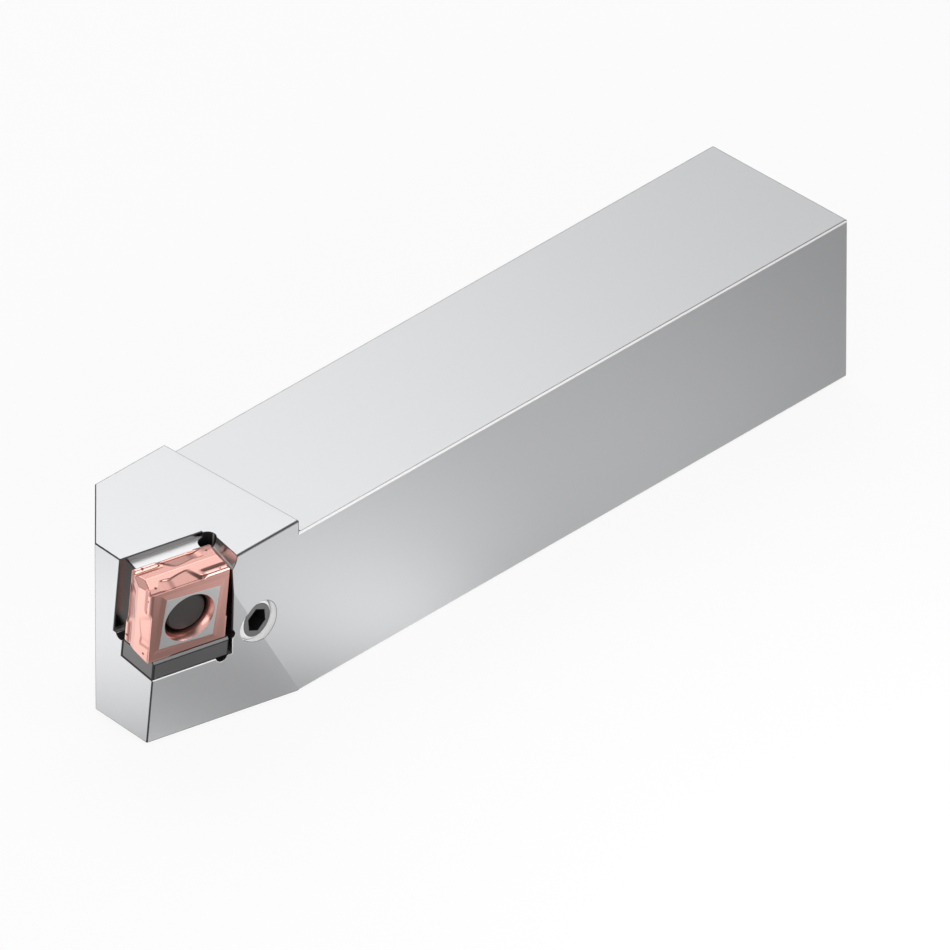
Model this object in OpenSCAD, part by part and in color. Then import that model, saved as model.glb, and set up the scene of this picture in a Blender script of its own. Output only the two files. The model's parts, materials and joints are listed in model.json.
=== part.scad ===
// Turning tool holder with a square shank and a tangential square insert.
// The insert lies on its narrow side on a shim, with its hole facing sideways,
// and a bell-crank lever drawn by a screw pulls it into the corner of its seat.
//
// Frame: X runs from the cutting head (minus) to the shank's rear end (plus),
// Z is up, and the origin is on the base, in the middle of the shank's width,
// below the shoulder where the raised head begins.

/* [Shank] */
// Width of the square shank
shank_w = 25; // [20:0.5:32]
// Height of the square shank
shank_h = 25; // [22:0.5:32]
// Length of the shank from the shoulder to its rear end
shank_len = 102.6; // [60:0.1:150]
// Chamfer on the shank's and head's outer edges
edge_chamfer = 0.2; // [0.1:0.05:0.5]

/* [Head] */
// Length of the head from the shoulder to the front face, on the middle line
head_len = 22.14; // [21:0.1:30]
// Height of the head's top above the shank's top
head_rise = 2; // [0.5:0.1:4]
// Fillet at the foot of the shoulder
shoulder_fillet = 0.5; // [0.2:0.1:1]
// Slant of the front face, seen from above
front_yaw = 4.6; // [2:0.1:8]
// Backward lean of the front face below the insert
front_lean = 1.2; // [0.4:0.1:3]
// Distance of the slanted back corner from the front face, along the side
back_corner_len = 9.4; // [5:0.1:12]

/* [Seat] */
// Slant of the clearance facet and of the insert, seen from above
seat_lead = 13.87; // [10:0.1:18]
// Inward lean of the facet and of the insert
seat_roll = 7.72; // [5:0.1:10]
// Distance of the insert's hole behind the front face
seat_in = 3.45; // [3:0.05:5]
// Distance of the insert's hole below the head's top
seat_down = 6.99; // [6.9:0.01:8]
// Distance that the insert stands out of the clearance facet
insert_proud = 0.24; // [0.1:0.02:0.6]
// Depth of the step behind the insert's rear edges
wall_step = 2.25; // [1:0.05:3]
// Height of that step's ledge above the insert's hole
ledge_up = 5.05; // [4.5:0.05:5.5]
// Width of the step down the front of the seat's back wall
front_step = 1.6; // [0.8:0.05:2]
// Radius of the relief drilled in the corner of the back and end walls
corner_relief_r = 1.15; // [0.8:0.05:1.4]
// Radius of the reliefs drilled across the end wall
side_relief_r = 0.8; // [0.5:0.05:1]
// Radius of the relief along the foot of the back wall, beside the shim's top
foot_relief_r = 0.8; // [0.5:0.05:1]
// Radius of the round relief above the end wall
chip_relief_r = 2.2; // [1.6:0.1:2.6]
// Outward slope of the end wall towards its foot
end_wall_lean = 3.3; // [1:0.1:6]

/* [Insert] */
// Side of the square insert over its ridges
insert_size = 12.7; // [12:0.05:13]
// Thickness of the insert
insert_t = 6; // [5:0.05:6.5]
// Radius of the insert's bore
insert_bore_r = 3.3; // [3.1:0.05:3.5]
// Radius of the rounding round the bore's mouth
bore_mouth_round = 0.5; // [0.3:0.05:0.8]
// Nose radius of the insert
nose_r = 0.6; // [0.4:0.05:0.9]
// Depth of the nose's top below the ridge of its side
nose_drop = 0.15; // [0.1:0.05:0.3]
// Slope of the ridge on each narrow side
ridge_slope = 11; // [5:0.5:12]
// Distance from the big face to the far side of the valley behind the nose
valley_v = 1.48; // [1.3:0.02:1.6]
// Depth of that valley below the ridge
valley_depth = 0.55; // [0.35:0.05:0.7]
// Chamfer across each corner, between the ridges of two sides
corner_cut = 0.85; // [0.4:0.05:1.2]
// Distance of the cutting edge inside the ridge
edge_drop = 0.5; // [0.3:0.05:0.8]
// Depth of the chip groove behind the cutting edge
groove_depth = 0.25; // [0.1:0.02:0.4]
// Width of the chip groove at the middle of the insert
groove_w = 2.3; // [1.8:0.05:2.5]
// Length of the cutting edge from the insert's middle to the groove's end
groove_end = 1.74; // [1:0.02:2]
// Half width of the ground land on the big faces
land_half = 4.12; // [3.9:0.02:4.6]
// Turn of the ground land in its own plane
land_turn = 4; // [0:0.5:6]
// Relief of the big faces outside the land
flank_relief = 2; // [1:0.5:4]
// Width of the bevel round the ground land
land_bevel_w = 0.55; // [0.2:0.05:0.8]
// Depth of that bevel
land_bevel_depth = 0.17; // [0.05:0.01:0.2]

/* [Shim] */
// Thickness of the shim under the ridge of the insert
shim_t = 3; // [2.4:0.1:4]
// Distance that the shim reaches behind the insert
shim_back = 0.4; // [0.1:0.05:0.8]
// Distance that the shim reaches past the insert's ridge at the end wall
shim_overhang = 0.35; // [0:0.05:0.5]
// Half the width of the raised seat that carries the insert's ridge
shim_groove_half = 1.5; // [1:0.1:1.5]
// Height of the shim's top beside that seat, above the ridge
shim_rail = 0.05; // [0:0.01:0.1]
// Chamfer on the shim's upper outer edges
shim_chamfer = 0.4; // [0.2:0.05:0.8]
// Radius of the shim screw's thread
shim_screw_r = 1.75; // [1.25:0.05:2]
// Length of the shim screw
shim_screw_len = 8; // [6:0.5:9]

/* [Lever] */
// Radius of the lever's nose inside the insert
lever_nose_r = 2.9; // [2.6:0.02:3]
// Depth of the nose's end face inside the insert
lever_nose_in = 1.25; // [0.8:0.05:2]
// Radius of the lever's neck
lever_neck_r = 2.3; // [1.8:0.05:2.5]
// Radius of the lever's heel
lever_heel_r = 3; // [2.6:0.05:3.2]
// Distance of the heel's middle behind the insert
lever_heel_back = 5.2; // [5:0.1:6]
// Width of the lever's arm
lever_arm_w = 5; // [4:0.1:5.4]
// Thickness of the lever's arm
lever_arm_t = 2.4; // [2:0.1:2.6]
// Radius of the fork that grips the lever screw
lever_fork_r = 3.6; // [3:0.1:4]
// Radial clearance of the lever in its bore and slot
lever_gap = 0.7; // [0.5:0.05:0.8]

/* [Lever screw] */
// Distance of the screw's axis behind the insert's hole
screw_back = 11.39; // [11:0.05:12]
// Distance of the screw's axis below the insert's hole
screw_down = 5.51; // [5.2:0.05:6]
// Radius of the screw's thread
screw_r = 3; // [2.8:0.05:3.1]
// Depth of the screw's face below the holder's side
screw_sunk = 0.6; // [0.5:0.05:1.2]
// Length of the screw's threaded part
screw_thread_len = 8.4; // [8.1:0.05:8.6]
// Radius of the screw's neck
screw_neck_r = 1.6; // [1.3:0.05:1.7]
// Radius of the collar behind the neck
screw_collar_r = 2.5; // [2.3:0.05:2.7]
// Thickness of the collar
screw_collar_t = 1.6; // [1.2:0.1:2]
// Width across the flats of the hexagon socket
hex_af = 3; // [2:0.5:3]
// Turn of the hexagon socket at rest
hex_turn = 35; // [0:1:59]
// Depth of the hexagon socket
hex_depth = 3; // [2:0.1:4]

/* [Hidden] */
$fn = 64;

// Height of the head
head_h = shank_h + head_rise;
// A length longer than any cut needs
far = 80;
// Small overlap that lets a cut run clear of a face
over = 1;
// Clearance of the screws in their holes
screw_gap = 0.07;
// Clearance of the lever's nose on the side where it pulls
nose_gap = 0.1;
// Clearance of the lever's heel in its bore
heel_gap = 0.15;
// Clearance of the fork where the screw pushes, and behind it
fork_push_gap = 0.25;
fork_back_gap = 0.45;
// Clearance beside the screw's neck in the fork
fork_side_gap = 0.5;

// The seat's own directions: along the cutting edge, into the holder, and up
edge_dir = [cos(seat_lead), -sin(seat_lead), 0];
in_dir = [sin(seat_lead) * cos(seat_roll), cos(seat_lead) * cos(seat_roll), sin(seat_roll)];
up_dir = [-sin(seat_lead) * sin(seat_roll), -cos(seat_lead) * sin(seat_roll), cos(seat_roll)];

// Middle of the insert's outer face, which lies just outside the facet
seat_x = -head_len + seat_in;
seat_z = head_h - seat_down;
facet_y = -shank_w / 2 - (in_dir.x * seat_x + in_dir.z * seat_z) / in_dir.y;
seat_pos = [seat_x, facet_y - insert_proud / in_dir.y, seat_z];

// Half the insert's size, and the height of its cutting edges
half = insert_size / 2;
edge_c = half - edge_drop;
// Seat floor, and the back wall behind the insert and behind the shim
floor_c = -half - shim_t;
// Where the nose begins on each narrow side
nose_from = groove_end + 0.46;
wall_v = insert_t;
shim_wall_v = wall_v + shim_back;

// Lever screw: its axis, and the stations along it from the holder's side
screw_x = seat_pos.x + screw_back;
screw_z = seat_pos.z - screw_down;
neck_from = screw_sunk + screw_thread_len;
neck_to = neck_from + fork_push_gap + lever_arm_t + fork_back_gap;
screw_end = neck_to + screw_collar_t;
screw_hole_depth = screw_end + over;

// Lever: where its fork meets the screw's axis, seen from the seat
fork_y = -shank_w / 2 + neck_from + fork_push_gap + lever_arm_t / 2;
fork_vec = [screw_x, fork_y, screw_z] - seat_pos;
arm_v = fork_vec * in_dir;
arm_turn = atan2(fork_vec * up_dir, fork_vec * edge_dir);
arm_len = norm([fork_vec * edge_dir, fork_vec * up_dir]);
heel_v = insert_t + lever_heel_back;
nose_shift = insert_bore_r - nose_gap - lever_nose_r;
lever_bore_r = lever_heel_r + lever_gap;

// Places its children in the seat's frame: x along the edge, y inwards, z up
module in_seat() {
    translate(seat_pos) rotate([seat_roll, 0, -seat_lead]) children();
}

// Places its children in the lever's frame: x towards the lever screw, y inwards
module in_lever() {
    in_seat() rotate([0, -arm_turn, 0]) children();
}

// Places its children on the lever screw's axis, z inwards from the side face
module on_screw() {
    translate([screw_x, -shank_w / 2, screw_z]) rotate([-90, 0, 0]) children();
}

// Extrudes an outline of y and z along x, from x0 to x1
module along_x(x0, x1) {
    translate([x0, 0, 0]) rotate([90, 0, 90]) linear_extrude(x1 - x0) children();
}

// Extrudes an outline of x and z along y, from y0 to y1
module along_y(y0, y1) {
    translate([0, y1, 0]) rotate([90, 0, 0]) linear_extrude(y1 - y0) children();
}

// A rod along y, from y0 to y1
module rod_y(r, y0, y1) {
    translate([0, y0, 0]) rotate([-90, 0, 0]) cylinder(r = r, h = y1 - y0);
}

// A rectangle whose four corners are cut off
module chamfered(w, h, c) {
    polygon([[c, 0], [w - c, 0], [w, c], [w, h - c], [w - c, h], [c, h], [0, h - c], [0, c]]);
}

// Everything in front of the head's leaning front face
module before_front() {
    translate([-head_len, 0, 0]) rotate([0, -front_lean, -front_yaw])
        translate([-far, -far, -far]) cube([far, 2 * far, 2 * far]);
}

// Everything outside the clearance facet under the insert
module outside_facet() {
    translate([0, -shank_w / 2, 0]) rotate([seat_roll, 0, -seat_lead])
        translate([-far, -far, -far]) cube([2 * far, far, 2 * far]);
}

// Everything beyond the slanted back corner
module beyond_back_corner() {
    translate([-head_len + back_corner_len, shank_w / 2, -over]) rotate([0, 0, 45])
        translate([-far, 0, 0]) cube([2 * far, far, head_h + 2 * over]);
}

// Shank and head before the seat is cut
module holder_blank() {
    difference() {
        union() {
            intersection() {
                along_x(-over, shank_len) translate([-shank_w / 2, 0])
                    chamfered(shank_w, shank_h, edge_chamfer);
                along_y(-shank_w, shank_w) translate([-2 * over, 0])
                    chamfered(shank_len + 2 * over, shank_h, edge_chamfer);
                translate([-2 * over, -shank_w / 2, 0]) linear_extrude(shank_h)
                    chamfered(shank_len + 2 * over, shank_w, edge_chamfer);
            }
            along_x(-head_len - 2 * over, 0) translate([-shank_w / 2, 0])
                chamfered(shank_w, head_h, edge_chamfer);
            shoulder_foot();
        }
        before_front();
        outside_facet();
        beyond_back_corner();
    }
}

// Small fillet between the shoulder and the shank's top
module shoulder_foot() {
    along_y(-shank_w / 2 + edge_chamfer, shank_w / 2 - edge_chamfer) difference() {
        translate([-over, shank_h - over]) square([over + shoulder_fillet, over + shoulder_fillet]);
        translate([shoulder_fillet, shank_h + shoulder_fillet]) circle(r = shoulder_fillet);
    }
}

// Room for the insert and shim, with the reliefs that keep their edges free
module seat_cut() {
    lean_run = (half - floor_c) * tan(end_wall_lean);
    // Seat proper: floor, back wall, and an end wall that leans back at its foot
    along_y(-far, wall_v) polygon([[-far, floor_c], [half + lean_run, floor_c],
        [half, half], [half, far], [-far, far]]);
    // Deeper foot of the seat, where the shim lies
    along_y(-far, shim_wall_v) polygon([[-far, floor_c], [half + lean_run, floor_c],
        [half + insert_size * tan(end_wall_lean), -half], [-far, -half]]);
    // Step behind the insert's rear upper and front edges
    along_y(-far, wall_v + wall_step) polygon([[-far, ledge_up], [half, ledge_up],
        [half, far], [-far, far]]);
    along_y(-far, wall_v + wall_step) polygon([[-far, -half], [-half + front_step, -half],
        [-half + front_step, far], [-far, far]]);
    // Drilled relief in the corner of the back and end walls
    translate([half, wall_v + corner_relief_r * 0.75, floor_c])
        cylinder(r = corner_relief_r, h = far);
    // Drilled reliefs across the end wall, beside the shim's top and at the floor
    translate([half + side_relief_r / 2, 0, -half + 0.35]) rod_y(side_relief_r, -far, wall_v);
    translate([half - side_relief_r * 0.75, 0, floor_c]) rod_y(side_relief_r, -far, wall_v);
    // Round relief above the end wall
    translate([half + 1.05 - chip_relief_r, 0, half + 0.55])
        rod_y(chip_relief_r, -far, wall_v + over / 2);
    // Relief along the foot of the back wall
    translate([-far, shim_wall_v + foot_relief_r * 0.75, -half + foot_relief_r * 0.3])
        rotate([0, 90, 0]) cylinder(r = foot_relief_r, h = far + half);
}

// Blind bore and slot for the lever
module lever_cut() {
    rod_y(lever_bore_r, wall_v - over, heel_v + lever_heel_r + nose_gap);
    slot_half = lever_arm_w / 2 + lever_gap / 2;
    reach = arm_len + lever_fork_r + lever_gap;
    front_v = arm_v - lever_arm_t / 2 - 3 * lever_gap;
    depth_v = arm_v + lever_arm_t / 2 + 3 * lever_gap;
    translate([0, front_v, -slot_half]) cube([reach - slot_half, depth_v - front_v, 2 * slot_half]);
    translate([reach - lever_fork_r - lever_gap, front_v, 0])
        rotate([-90, 0, 0]) cylinder(r = lever_fork_r + lever_gap, h = depth_v - front_v);
    // Way in from the seat, where the arm is threaded through
    translate([0, wall_v - over, -slot_half])
        cube([half - lever_gap, depth_v - wall_v + over, 2 * slot_half]);
}

// Tapped hole under the shim
module shim_screw_hole() {
    translate([0, insert_t / 2, floor_c - shim_screw_len]) cylinder(r = shim_screw_r, h = far / 4);
}

module holder() {
    color([0.78, 0.79, 0.8]) difference() {
        holder_blank();
        in_seat() {
            seat_cut();
            shim_screw_hole();
        }
        in_lever() lever_cut();
        on_screw() translate([0, 0, -over])
            cylinder(r = screw_r + screw_gap, h = screw_hole_depth + over);
    }
}

// Height of a narrow side's slope at v behind the big face
function slope_c(v) = half - (insert_t / 2 - v) * tan(ridge_slope);

// Chip groove on one half of a narrow side, open to the big face and the corner
module chip_groove() {
    floor_near = edge_c - groove_depth;
    difference() {
        translate([0, 0, half - 3]) linear_extrude(6) polygon([[-half - over, -over],
            [groove_end + 0.69 * over, -over], [groove_end, 0], [groove_end - 1.59, groove_w],
            [-0.9, groove_w - 0.1], [-3.7, groove_w - 0.25], [-5.5, groove_w - 0.64],
            [-half - over, groove_w - 0.8]]);
        along_x(-half - 2 * over, half) polygon([[-2 * over, 0], [-2 * over, edge_c],
            [0, edge_c], [0.5, floor_near + 0.05], [1.4, floor_near], [insert_t / 2, floor_near + 0.1],
            [insert_t / 2, 0]]);
    }
}

// Nose along the other half: its round, its narrow top, and the valley behind it
module nose_round() {
    top_c = half - nose_drop;
    flat_end = nose_r + (valley_v - nose_r) * 0.28;
    bottom_v = nose_r + (valley_v - nose_r) * 0.74;
    along_x(nose_from, half + over) {
        difference() {
            translate([-over, top_c - nose_r]) square([over + nose_r, nose_r + over]);
            translate([nose_r, top_c - nose_r]) circle(r = nose_r);
        }
        polygon([[nose_r, top_c], [flat_end, top_c], [bottom_v, half - valley_depth],
            [valley_v, slope_c(valley_v)], [valley_v, half + over], [nose_r, half + over]]);
    }
}

// Everything that is ground and pressed away on one half of one narrow side
module side_half_cut() {
    along_x(-half - over, nose_from) polygon([[-over, slope_c(-over)], [insert_t / 2, half],
        [insert_t / 2, half + over], [-over, half + over]]);
    along_x(nose_from - over / 2, half + over) polygon([[valley_v, slope_c(valley_v)],
        [insert_t / 2, half], [insert_t / 2, half + over], [valley_v, half + over]]);
    chip_groove();
    nose_round();
    // Bevel round the ground land, and the relief from its foot out to this side
    rotate([0, land_turn, 0]) along_x(-half - 2 * over, half + 2 * over)
        polygon([[-over, land_half], [0, land_half], [land_bevel_depth, land_half + land_bevel_w],
            [land_bevel_depth + insert_t * sin(flank_relief) / 2, land_half + land_bevel_w + insert_t / 2],
            [-over, land_half + insert_t]]);
}

// Rounded mouth of the bore, as a ring to take away
module bore_mouth() {
    rotate([-90, 0, 0]) rotate_extrude() difference() {
        translate([0, -over]) square([insert_bore_r + bore_mouth_round, over + bore_mouth_round]);
        translate([insert_bore_r + bore_mouth_round, bore_mouth_round]) circle(r = bore_mouth_round);
    }
}

module insert() {
    color([0.78, 0.5, 0.42]) in_seat() difference() {
        translate([-half, 0, -half]) cube([insert_size, insert_t, insert_size]);
        // Four narrow sides, each the same when the insert is turned over
        for (side = [0 : 3], face = [0 : 1])
            rotate([0, 90 * side, 0]) translate([0, insert_t / 2, 0]) rotate([0, 0, 180 * face])
                translate([0, -insert_t / 2, 0]) side_half_cut();
        // Chamfers across the corners
        for (side = [0 : 3])
            rotate([0, 90 * side + 45, 0]) translate([-insert_size, -over, (insert_size - corner_cut) / sqrt(2)])
                cube([2 * insert_size, insert_t + 2 * over, insert_size]);
        rod_y(insert_bore_r, -over, insert_t + over);
        bore_mouth();
        translate([0, insert_t, 0]) mirror([0, 1, 0]) bore_mouth();
    }
}

module shim() {
    groove_rise = shim_groove_half * tan(ridge_slope);
    top_c = -half + groove_rise;
    rail_c = -half + shim_rail;
    mid = insert_t / 2;
    color([0.3, 0.3, 0.31]) difference() {
        in_seat() difference() {
            along_x(-far / 2, half + shim_overhang) polygon([[insert_proud, floor_c],
                [insert_proud, rail_c - shim_chamfer], [insert_proud + shim_chamfer, rail_c],
                [mid - shim_groove_half, rail_c], [mid - shim_groove_half, top_c], [mid, -half],
                [mid + shim_groove_half, top_c], [mid + shim_groove_half, rail_c],
                [wall_v, rail_c], [wall_v, -half], [shim_wall_v, -half], [shim_wall_v, floor_c]]);
            // Countersunk hole for the shim screw
            translate([0, mid, floor_c - over]) cylinder(r = shim_screw_r + screw_gap, h = far / 4);
            translate([0, mid, -half - shim_screw_r])
                cylinder(r1 = shim_screw_r, r2 = shim_screw_r + 3 * over, h = 3 * over);
        }
        before_front();
    }
}

module shim_screw() {
    top_c = -half - 0.35;
    head_r = top_c + half + 2 * shim_screw_r;
    color([0.2, 0.2, 0.21]) in_seat() translate([0, insert_t / 2, 0]) difference() {
        union() {
            translate([0, 0, top_c - (head_r - shim_screw_r)])
                cylinder(r1 = shim_screw_r, r2 = head_r - screw_gap, h = head_r - shim_screw_r);
            translate([0, 0, floor_c - shim_screw_len + over])
                cylinder(r = shim_screw_r, h = top_c - floor_c + shim_screw_len - over - 1.2);
        }
        translate([0, 0, top_c - 1.4]) cylinder(r = 1.15, h = 2, $fn = 6);
    }
}

module lever() {
    color([0.33, 0.33, 0.34]) union() {
        in_lever() {
            // Nose that pulls on the insert's bore, and the neck behind it
            translate([nose_shift, lever_nose_in, 0]) rotate([-90, 0, 0]) {
                cylinder(r1 = lever_nose_r - 0.2, r2 = lever_nose_r, h = 0.2);
                translate([0, 0, 0.2]) cylinder(r = lever_nose_r, h = 2);
                translate([0, 0, 2.2]) cylinder(r1 = lever_nose_r, r2 = lever_neck_r, h = 0.6);
                cylinder(r = lever_neck_r, h = heel_v - lever_nose_in);
            }
            // Rounded heel on which the lever rocks
            intersection() {
                translate([0, heel_v, -lever_arm_w / 2]) cylinder(r = lever_heel_r, h = lever_arm_w);
                rod_y(lever_bore_r - heel_gap, 0, far);
            }
            // Arm towards the lever screw
            translate([0, arm_v - lever_arm_t / 2, -lever_arm_w / 2])
                cube([arm_len - lever_fork_r + 1, lever_arm_t, lever_arm_w]);
        }
        lever_fork();
    }
}

// Fork that stands square to the lever screw and grips its neck
module lever_fork() {
    slot = 2 * (screw_neck_r + fork_side_gap);
    translate([screw_x, fork_y, screw_z]) rotate([-90, 0, 0]) difference() {
        translate([0, 0, -lever_arm_t / 2]) cylinder(r = lever_fork_r, h = lever_arm_t);
        translate([0, 0, -lever_arm_t]) cylinder(d = slot, h = 2 * lever_arm_t);
        rotate([0, 0, -arm_turn]) translate([0, -slot / 2, -lever_arm_t])
            cube([2 * lever_fork_r, slot, 2 * lever_arm_t]);
    }
}

module lever_screw() {
    rim = screw_r / 5;
    color([0.72, 0.73, 0.74]) on_screw() difference() {
        union() {
            translate([0, 0, screw_sunk]) cylinder(r1 = screw_r - rim, r2 = screw_r, h = rim);
            translate([0, 0, screw_sunk + rim]) cylinder(r = screw_r, h = screw_thread_len - rim);
            translate([0, 0, neck_from]) cylinder(r = screw_neck_r, h = screw_end - neck_from);
            translate([0, 0, neck_to]) cylinder(r = screw_collar_r, h = screw_collar_t - 0.4);
            translate([0, 0, screw_end - 0.4])
                cylinder(r1 = screw_collar_r, r2 = screw_collar_r - 0.4, h = 0.4);
        }
        translate([0, 0, screw_sunk - over]) rotate([0, 0, -hex_turn])
            cylinder(d = hex_af / cos(30), h = hex_depth + over, $fn = 6);
    }
}

holder();
insert();
shim();
shim_screw();
lever();
lever_screw();
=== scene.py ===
# %% [markdown]
# # A turning tool holder
# A square steel shank carries a copper-coloured carbide insert, which lies on its narrow side on a
# dark shim. A lever inside the head pulls it into its seat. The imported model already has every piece
# at its real size, so this lesson only finishes the surfaces, and rebuilds the pieces whose edges or
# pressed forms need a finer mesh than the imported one.

import json
import math

import bmesh
import bpy
from mathutils import Matrix, Vector

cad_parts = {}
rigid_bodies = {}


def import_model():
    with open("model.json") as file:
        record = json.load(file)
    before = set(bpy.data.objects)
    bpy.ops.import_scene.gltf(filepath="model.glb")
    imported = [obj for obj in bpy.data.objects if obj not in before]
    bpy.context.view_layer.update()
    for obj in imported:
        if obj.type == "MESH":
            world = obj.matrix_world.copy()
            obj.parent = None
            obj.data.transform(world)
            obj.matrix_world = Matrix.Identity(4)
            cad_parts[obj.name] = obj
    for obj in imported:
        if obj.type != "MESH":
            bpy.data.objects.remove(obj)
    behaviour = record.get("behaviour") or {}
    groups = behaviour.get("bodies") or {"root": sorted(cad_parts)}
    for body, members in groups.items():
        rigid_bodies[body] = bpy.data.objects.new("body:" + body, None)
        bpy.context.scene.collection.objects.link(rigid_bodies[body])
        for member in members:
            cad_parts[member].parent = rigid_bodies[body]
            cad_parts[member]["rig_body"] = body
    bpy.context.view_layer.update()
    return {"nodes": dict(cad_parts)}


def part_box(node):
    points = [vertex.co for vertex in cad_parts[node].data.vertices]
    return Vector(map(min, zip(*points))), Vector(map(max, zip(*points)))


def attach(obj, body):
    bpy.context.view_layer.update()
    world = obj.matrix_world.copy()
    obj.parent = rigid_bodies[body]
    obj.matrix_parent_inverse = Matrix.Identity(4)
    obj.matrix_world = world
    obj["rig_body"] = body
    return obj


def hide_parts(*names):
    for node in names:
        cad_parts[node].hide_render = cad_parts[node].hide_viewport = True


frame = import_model()
nodes = frame["nodes"]
MM = 0.001

# %% [markdown]
# ## Where things are
# The insert and its shim stand in a frame of their own: x runs along the cutting edge, y into the
# holder and z up. Two turns and one place are all that is needed, and they are the tool's own angles.
# Points in that frame are in millimetres, and seat_mm places them in the scene, which is in metres.

# %% The seat's frame
seat_lead = math.radians(13.87)
seat_roll = math.radians(7.72)
seat_place = Vector((-18.69, -10.929, 20.01)) * MM
seat = (Matrix.Translation(seat_place) @ Matrix.Rotation(-seat_lead, 4, "Z")
        @ Matrix.Rotation(seat_roll, 4, "X"))
seat_mm = seat @ Matrix.Scale(MM, 4)

INSERT_HALF = 6.35
INSERT_T = 6.0
screw_low, screw_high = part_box("lever_screw")
screw_axis = Vector(((screw_low.x + screw_high.x) / 2, screw_low.y, (screw_low.z + screw_high.z) / 2))
print("screw face at", screw_axis)

# %% [markdown]
# ## Camera
# The photograph looks down at the tool from its front corner, with almost no perspective. A long lens
# far away does that, and unlike an orthographic camera it still frames the whole tool from any side.

# %% Place the camera
def add_object(name, data):
    """A new object in the scene for this mesh, lamp or camera."""
    made = bpy.data.objects.new(name, data)
    bpy.context.scene.collection.objects.link(made)
    return made


view_azimuth = math.radians(-45.29)
view_elevation = math.radians(34.465)
view_target = Vector((31.727, -13.382, 19.134)) * MM
view_distance = 5.8798
toward_camera = Vector((math.sin(view_azimuth) * math.cos(view_elevation),
                        -math.cos(view_azimuth) * math.cos(view_elevation),
                        math.sin(view_elevation)))
camera_data = bpy.data.cameras.new("camera")
camera_data.lens = 1700
camera_data.sensor_width = 36
camera_data.clip_start = 0.1
camera_data.clip_end = 20
camera = add_object("camera", camera_data)
camera.rotation_mode = "QUATERNION"
camera.location = view_target + toward_camera * view_distance
camera.rotation_quaternion = (-toward_camera).to_track_quat("-Z", "Y")
bpy.context.scene.camera = camera
bpy.context.scene.view_settings.view_transform = "Standard"
print("camera at", camera.location)

# %% [markdown]
# ## Small helpers for node materials
# A material is a graph. These helpers add a node with its settings, or a whole step of the graph, so
# that the finishes below read as short recipes.

# %% Node helpers
def add_node(tree, kind, **values):
    """Adds a node and sets its properties, or its inputs by name."""
    made = tree.nodes.new(kind)
    for name, value in values.items():
        if hasattr(made, name):
            setattr(made, name, value)
        else:
            made.inputs[name.replace("_", " ")].default_value = value
    return made


def new_material(name, colour, roughness, metallic):
    """A material with one Principled shader, and the shader and tree to build on."""
    material = bpy.data.materials.new(name)
    material.use_nodes = True
    tree = material.node_tree
    shader = tree.nodes["Principled BSDF"]
    shader.inputs["Base Color"].default_value = (*colour, 1)
    shader.inputs["Roughness"].default_value = roughness
    shader.inputs["Metallic"].default_value = metallic
    return material, tree, shader


def add_ramp(tree, measure, low, high, at_low, at_high):
    """A smooth ramp from at_low to at_high, while measure goes from low to high."""
    ramp = add_node(tree, "ShaderNodeMapRange", interpolation_type="SMOOTHSTEP", From_Min=low, From_Max=high,
                    To_Min=at_low, To_Max=at_high)
    tree.links.new(measure, ramp.inputs["Value"])
    return ramp.outputs[0]


print("node helpers ready")

# %% [markdown]
# ## Floor and light
# The photograph's background is white, but its metal shows a dark room with a few soft windows: flat
# faces run from bright at the head to grey at the rear end, and copper facets a few degrees apart go
# from cream to brown. So reflections see a sky that is a sum of round windows with soft edges over a
# dim tone, and a floor with soft pools of light. The camera sees both as white, and only a small share
# of the floor's own shading, which keeps a faint shadow.

# %% Soft round patches, and white for the camera
def soft_patch(tree, total, measure, near, far, strength):
    """Adds to total a patch of this strength that fades as measure runs from near to far."""
    both = add_node(tree, "ShaderNodeMath", operation="ADD")
    if isinstance(total, float):
        both.inputs[0].default_value = total
    else:
        tree.links.new(total, both.inputs[0])
    tree.links.new(add_ramp(tree, measure, far, near, 0, strength), both.inputs[1])
    return both.outputs[0]


def white_for_camera(tree, path, strength):
    """Turns a strength to 1, which is white, for the rays that come from the camera."""
    seen = add_node(tree, "ShaderNodeMix", B=1)
    tree.links.new(path.outputs["Is Camera Ray"], seen.inputs["Factor"])
    tree.links.new(strength, seen.inputs["A"])
    return seen.outputs[0]


print("light helpers ready")

# %% The floor, with pools of light
FLOOR_HALF = 20
FLOOR_DROP = 0.2 * MM
FLOOR_GLOW = 0.2
# Each pool has its middle and radius in metres, and its strength.
FLOOR_POOLS = (((-0.05, 0.02), 0.058, 1.4), ((0.024, -0.036), 0.038, 0.49), ((0.06, -0.04), 0.062, 0.27),
               ((0.11, -0.04), 0.06, 0.15), ((0.04, 0.07), 0.14, 0.6), ((0.0, -0.046), 0.032, 0.6),
               ((0.018, -0.018), 0.024, 0.4))
floor_mesh = bpy.data.meshes.new("floor")
shape = bmesh.new()
bmesh.ops.create_grid(shape, x_segments=1, y_segments=1, size=FLOOR_HALF)
bmesh.ops.translate(shape, verts=shape.verts, vec=(0, 0, -FLOOR_DROP))
shape.to_mesh(floor_mesh)
shape.free()
floor = add_object("floor", floor_mesh)
floor_white, floor_tree, floor_shader = new_material("floor_white", (0.9, 0.9, 0.9), 0.9, 0)
floor_mesh.materials.append(floor_white)
floor_place = add_node(floor_tree, "ShaderNodeTexCoord")
pools = FLOOR_GLOW
for middle, radius, strength in FLOOR_POOLS:
    away = add_node(floor_tree, "ShaderNodeVectorMath", operation="DISTANCE")
    away.inputs[1].default_value = (*middle, 0)
    floor_tree.links.new(floor_place.outputs["Object"], away.inputs[0])
    pools = soft_patch(floor_tree, pools, away.outputs["Value"], 0, radius, strength)
print("floor with", len(FLOOR_POOLS), "pools")

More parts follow.
